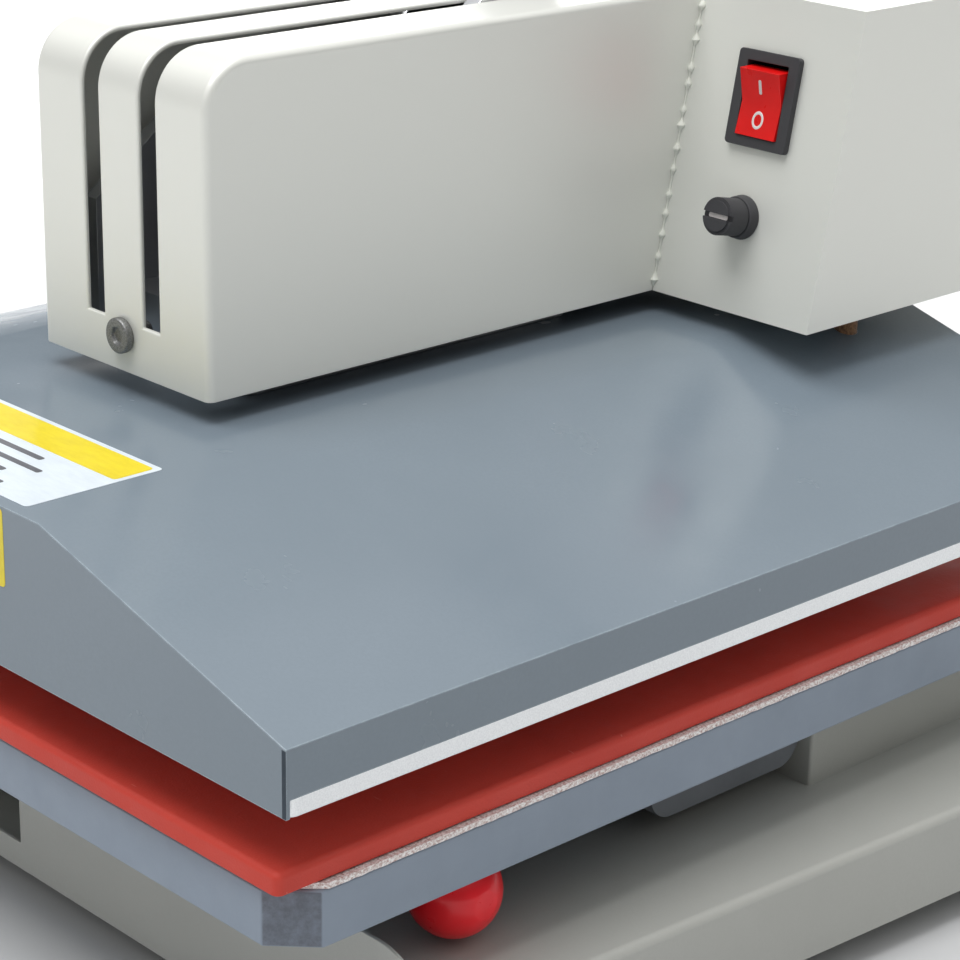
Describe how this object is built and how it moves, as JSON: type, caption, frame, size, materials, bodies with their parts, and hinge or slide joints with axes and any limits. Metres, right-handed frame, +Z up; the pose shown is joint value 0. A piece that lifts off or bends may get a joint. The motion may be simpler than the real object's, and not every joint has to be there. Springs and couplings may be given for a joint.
{
  "type": "heat press",
  "caption": "Manual swing-away heat press: a hooded hot plate on a slotted arm lowers by lever onto a red silicone pad, and the arm swings aside on a rear column.",
  "frame": {"origin": "middle of the machine's plan outline with the head closed over the pad, on the surface that its feet stand on", "axes": "+Z up, -Y towards the operator, +X to the side of the power switch"},
  "size_m": [0.458, 0.54, 0.4403],
  "materials": {
    "cream_paint": "satin powder coat",
    "grey_enamel": "gloss enamel",
    "aluminium": "machined",
    "red_silicone": "matt sponge",
    "backing_board": "pressed glass fibre",
    "mineral_wool": "felted",
    "sleeving": "braided",
    "red_plastic": "gloss",
    "black_plastic": "moulded",
    "cream_plastic": "gloss",
    "dark_window": "tinted",
    "black_rubber": "matt",
    "bright_steel": "zinc plated",
    "dull_steel": "blackened",
    "grey_beam": "satin enamel",
    "bronze": "turned",
    "board_green": "solder mask"
  },
  "bodies": {
    "base": {"base_tray": "cream_paint", "front_apron": "cream_paint", "column_riser": "cream_paint", "rubber_feet": "black_rubber", "foot_screws": "bright_steel", "pedestal": "dull_steel", "cross_beam": "grey_beam", "lower_plate": "grey_enamel", "pad_backing": "backing_board", "silicone_pad": "red_silicone", "latch_tab": "dull_steel", "latch_block": "dull_steel", "latch_spring": "bright_steel", "column_flange": "dull_steel", "flange_bolts": "bright_steel", "column": "bright_steel", "stop_collar": "dull_steel", "thrust_washer": "bronze"},
    "arm": {"bearing_block": "dull_steel", "bearing_cap": "dull_steel", "stop_pin": "bright_steel", "arm_side_plates": "dull_steel", "guide_block": "dull_steel", "bronze_bushes": "bronze", "arm_cover": "cream_paint", "arm_front_screw": "bright_steel", "rear_housing": "cream_paint", "housing_floor": "cream_paint", "housing_back": "cream_paint", "cover_screws": "bright_steel", "control_board": "board_green", "switch_body": "black_plastic", "fuse_holder": "black_plastic", "mains_inlet": "black_plastic", "lead_grommet": "black_rubber", "controller_bezel": "black_plastic", "controller_window": "dark_window", "return_springs": "bright_steel"},
    "head": {"hood": "grey_enamel", "hot_plate": "aluminium", "heating_element": "dull_steel", "insulation": "mineral_wool", "heater_lead": "sleeving", "carrier_plate": "dull_steel", "ram": "bright_steel", "guide_rods": "bright_steel"},
    "roller": {"cam_roller": "bright_steel"},
    "handle": {"handle_bars": "bright_steel", "handle_tube": "bright_steel", "handle_grip": "black_rubber", "handle_shaft": "bright_steel", "press_cam": "dull_steel"},
    "latch": {"latch_pin": "bright_steel", "red_pull_knob": "red_plastic"},
    "pressure_screw": {"pressure_knob": "black_plastic"},
    "rocker": {"rocker_switch": "red_plastic"},
    "fuse": {"fuse_cap": "black_plastic"},
    "set_button": {"button_set": "cream_plastic"},
    "up_button": {"button_up": "cream_plastic"},
    "down_button": {"button_down": "cream_plastic"}
  },
  "joints": [
    {"name": "arm_swing", "type": "hinge", "parent": "base", "child": "arm", "pos_m": [0, 0.175, 0.19], "axis": [0, 0, 1], "range_deg": [0, 100]},
    {"name": "head_press", "type": "slide", "parent": "arm", "child": "head", "axis": [0, 0, -1], "range_m": [0, 0.019], "stiffness_N_per_m": 5000, "springref_m": -0.035, "deforming": ["return_springs"]},
    {"name": "handle_swing", "type": "hinge", "parent": "arm", "child": "handle", "pos_m": [0, -0.078, 0.239], "axis": [1, 0, 0], "range_deg": [0, 135]},
    {"name": "roller_turn", "type": "hinge", "parent": "head", "child": "roller", "pos_m": [0, -0.078, 0.216], "axis": [1, 0, 0], "continuous": true},
    {"name": "latch_pull", "type": "slide", "parent": "base", "child": "latch", "axis": [1, 0, 0], "range_m": [0, 0.008], "stiffness_N_per_m": 800, "springref_m": -0.004, "deforming": ["latch_spring"]},
    {"name": "pressure_turn", "type": "hinge", "parent": "arm", "child": "pressure_screw", "pos_m": [0, 0.175, 0.3], "axis": [0, 0, 1], "range_deg": [-360, 360]},
    {"name": "rocker_tip", "type": "hinge", "parent": "arm", "child": "rocker", "pos_m": [0.0822, 0.04231, 0.25816], "axis": [1, 0, 0], "range_deg": [-16, 0]},
    {"name": "fuse_turn", "type": "hinge", "parent": "arm", "child": "fuse", "pos_m": [0.0806, 0.02949, 0.21838], "axis": [0, -0.9816, 0.1908], "range_deg": [0, 90]},
    {"name": "set_press", "type": "slide", "parent": "arm", "child": "set_button", "axis": [0, 0, -1], "range_m": [0, 0.0012], "stiffness_N_per_m": 400, "springref_m": -0.0006},
    {"name": "up_press", "type": "slide", "parent": "arm", "child": "up_button", "axis": [0, 0, -1], "range_m": [0, 0.0012], "stiffness_N_per_m": 400, "springref_m": -0.0006},
    {"name": "down_press", "type": "slide", "parent": "arm", "child": "down_button", "axis": [0, 0, -1], "range_m": [0, 0.0012], "stiffness_N_per_m": 400, "springref_m": -0.0006}
  ],
  "couplings": [
    {"joint": "handle_swing", "follows": "head_press", "rad_per_m": 124}
  ]
}
